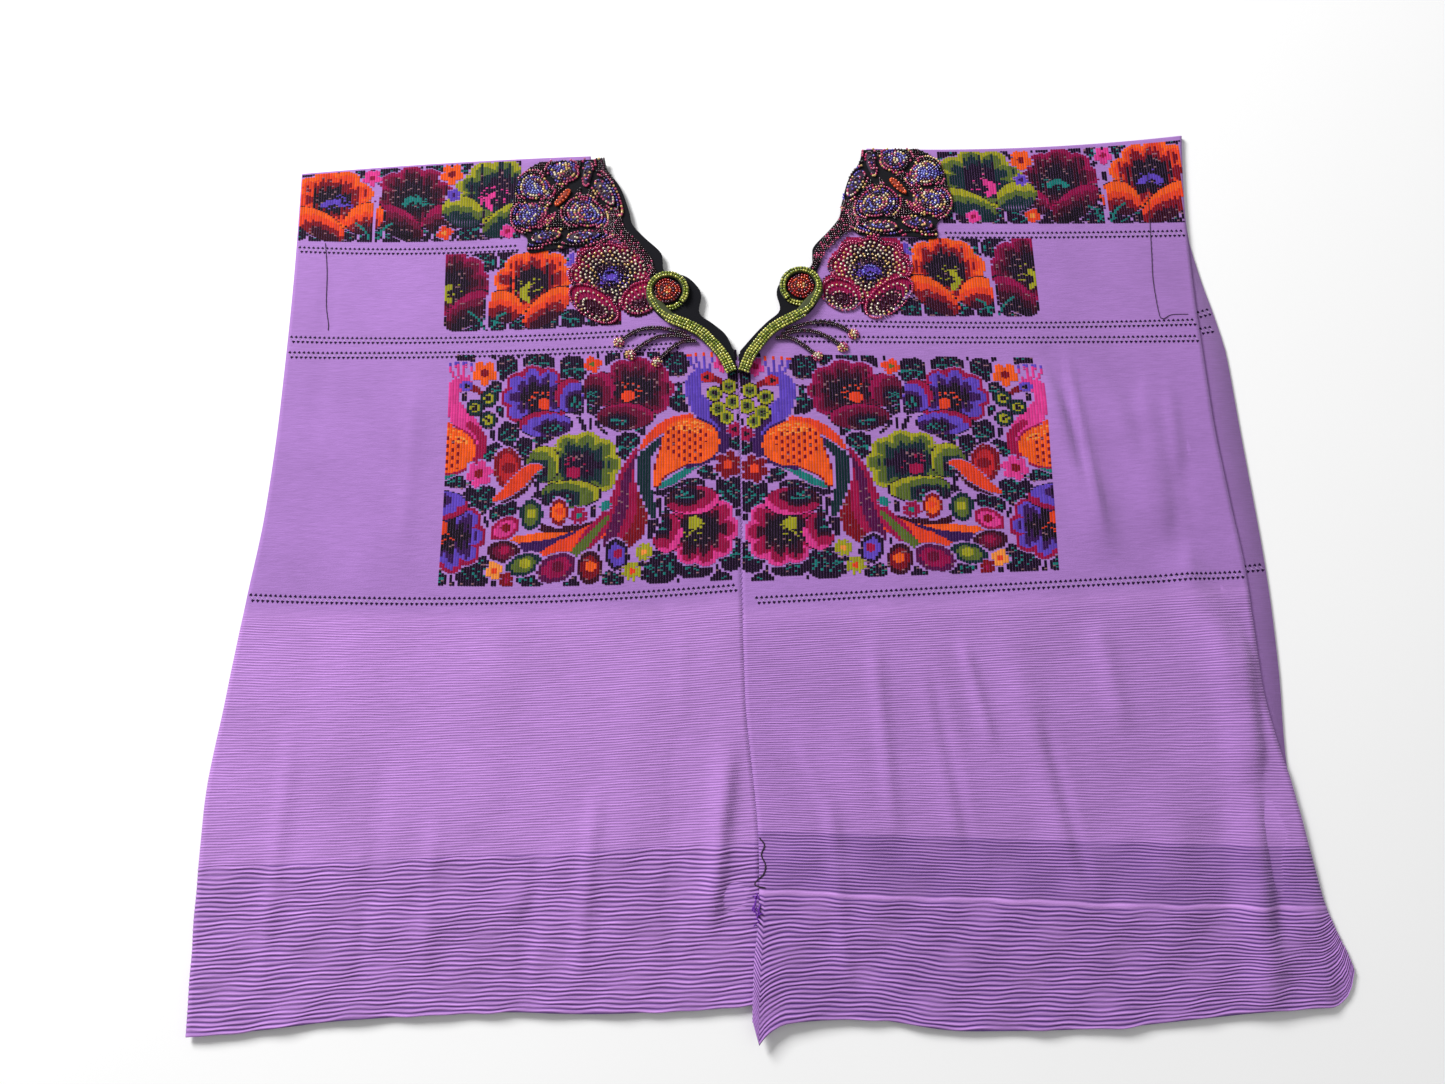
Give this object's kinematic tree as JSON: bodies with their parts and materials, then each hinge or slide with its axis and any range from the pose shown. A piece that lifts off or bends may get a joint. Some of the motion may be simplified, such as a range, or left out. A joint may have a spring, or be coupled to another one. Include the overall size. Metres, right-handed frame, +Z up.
{
  "type": "huipil blouse laid flat",
  "caption": "Square-cut woven blouse lying flat, front up: wide body without sleeves, deep V neck with raised beaded trim, patterned yoke and ribbed lower half.",
  "frame": {"origin": "centre of the blouse's outline on the surface that its back lies on", "axes": "+X towards the right-hand side of the laid-out front, +Y from hem to shoulders, +Z up off the surface"},
  "size_m": [0.902, 0.7736, 0.0114],
  "materials": {
    "cloth_purple": "matte hand-woven cotton",
    "velvet_black": "matte velvet",
    "beads_green": "glossy glass seed beads",
    "beads_red": "glossy glass seed beads",
    "beads_orange": "glossy glass seed beads",
    "beads_violet": "glossy glass seed beads",
    "beads_brown": "glossy glass seed beads",
    "beads_cream": "glossy glass seed beads"
  },
  "bodies": {
    "root": {"panel_left": "cloth_purple", "neck_facing_left": "velvet_black", "scroll_left": "beads_green", "rosette_left": "beads_red", "flower_heart_left": "beads_orange", "petal_left_1": "beads_violet", "petal_left_2": "beads_violet", "petal_left_3": "beads_violet", "petal_left_4": "beads_violet", "petal_left_5": "beads_violet", "petal_left_6": "beads_violet", "petal_left_7": "beads_violet", "petal_left_8": "beads_violet", "tendril_left_1": "beads_brown", "tendril_left_2": "beads_brown", "tendril_left_3": "beads_brown", "bead_cluster_left_1": "beads_cream", "bead_cluster_left_2": "beads_cream", "bead_cluster_left_3": "beads_cream", "panel_right": "cloth_purple", "neck_facing_right": "velvet_black", "scroll_right": "beads_green", "rosette_right": "beads_red", "flower_heart_right": "beads_orange", "petal_right_1": "beads_violet", "petal_right_2": "beads_violet", "petal_right_3": "beads_violet", "petal_right_4": "beads_violet", "petal_right_5": "beads_violet", "petal_right_6": "beads_violet", "petal_right_7": "beads_violet", "petal_right_8": "beads_violet", "tendril_right_1": "beads_brown", "tendril_right_2": "beads_brown", "tendril_right_3": "beads_brown", "bead_cluster_right_1": "beads_cream", "bead_cluster_right_2": "beads_cream", "bead_cluster_right_3": "beads_cream"}
  },
  "joints": []
}
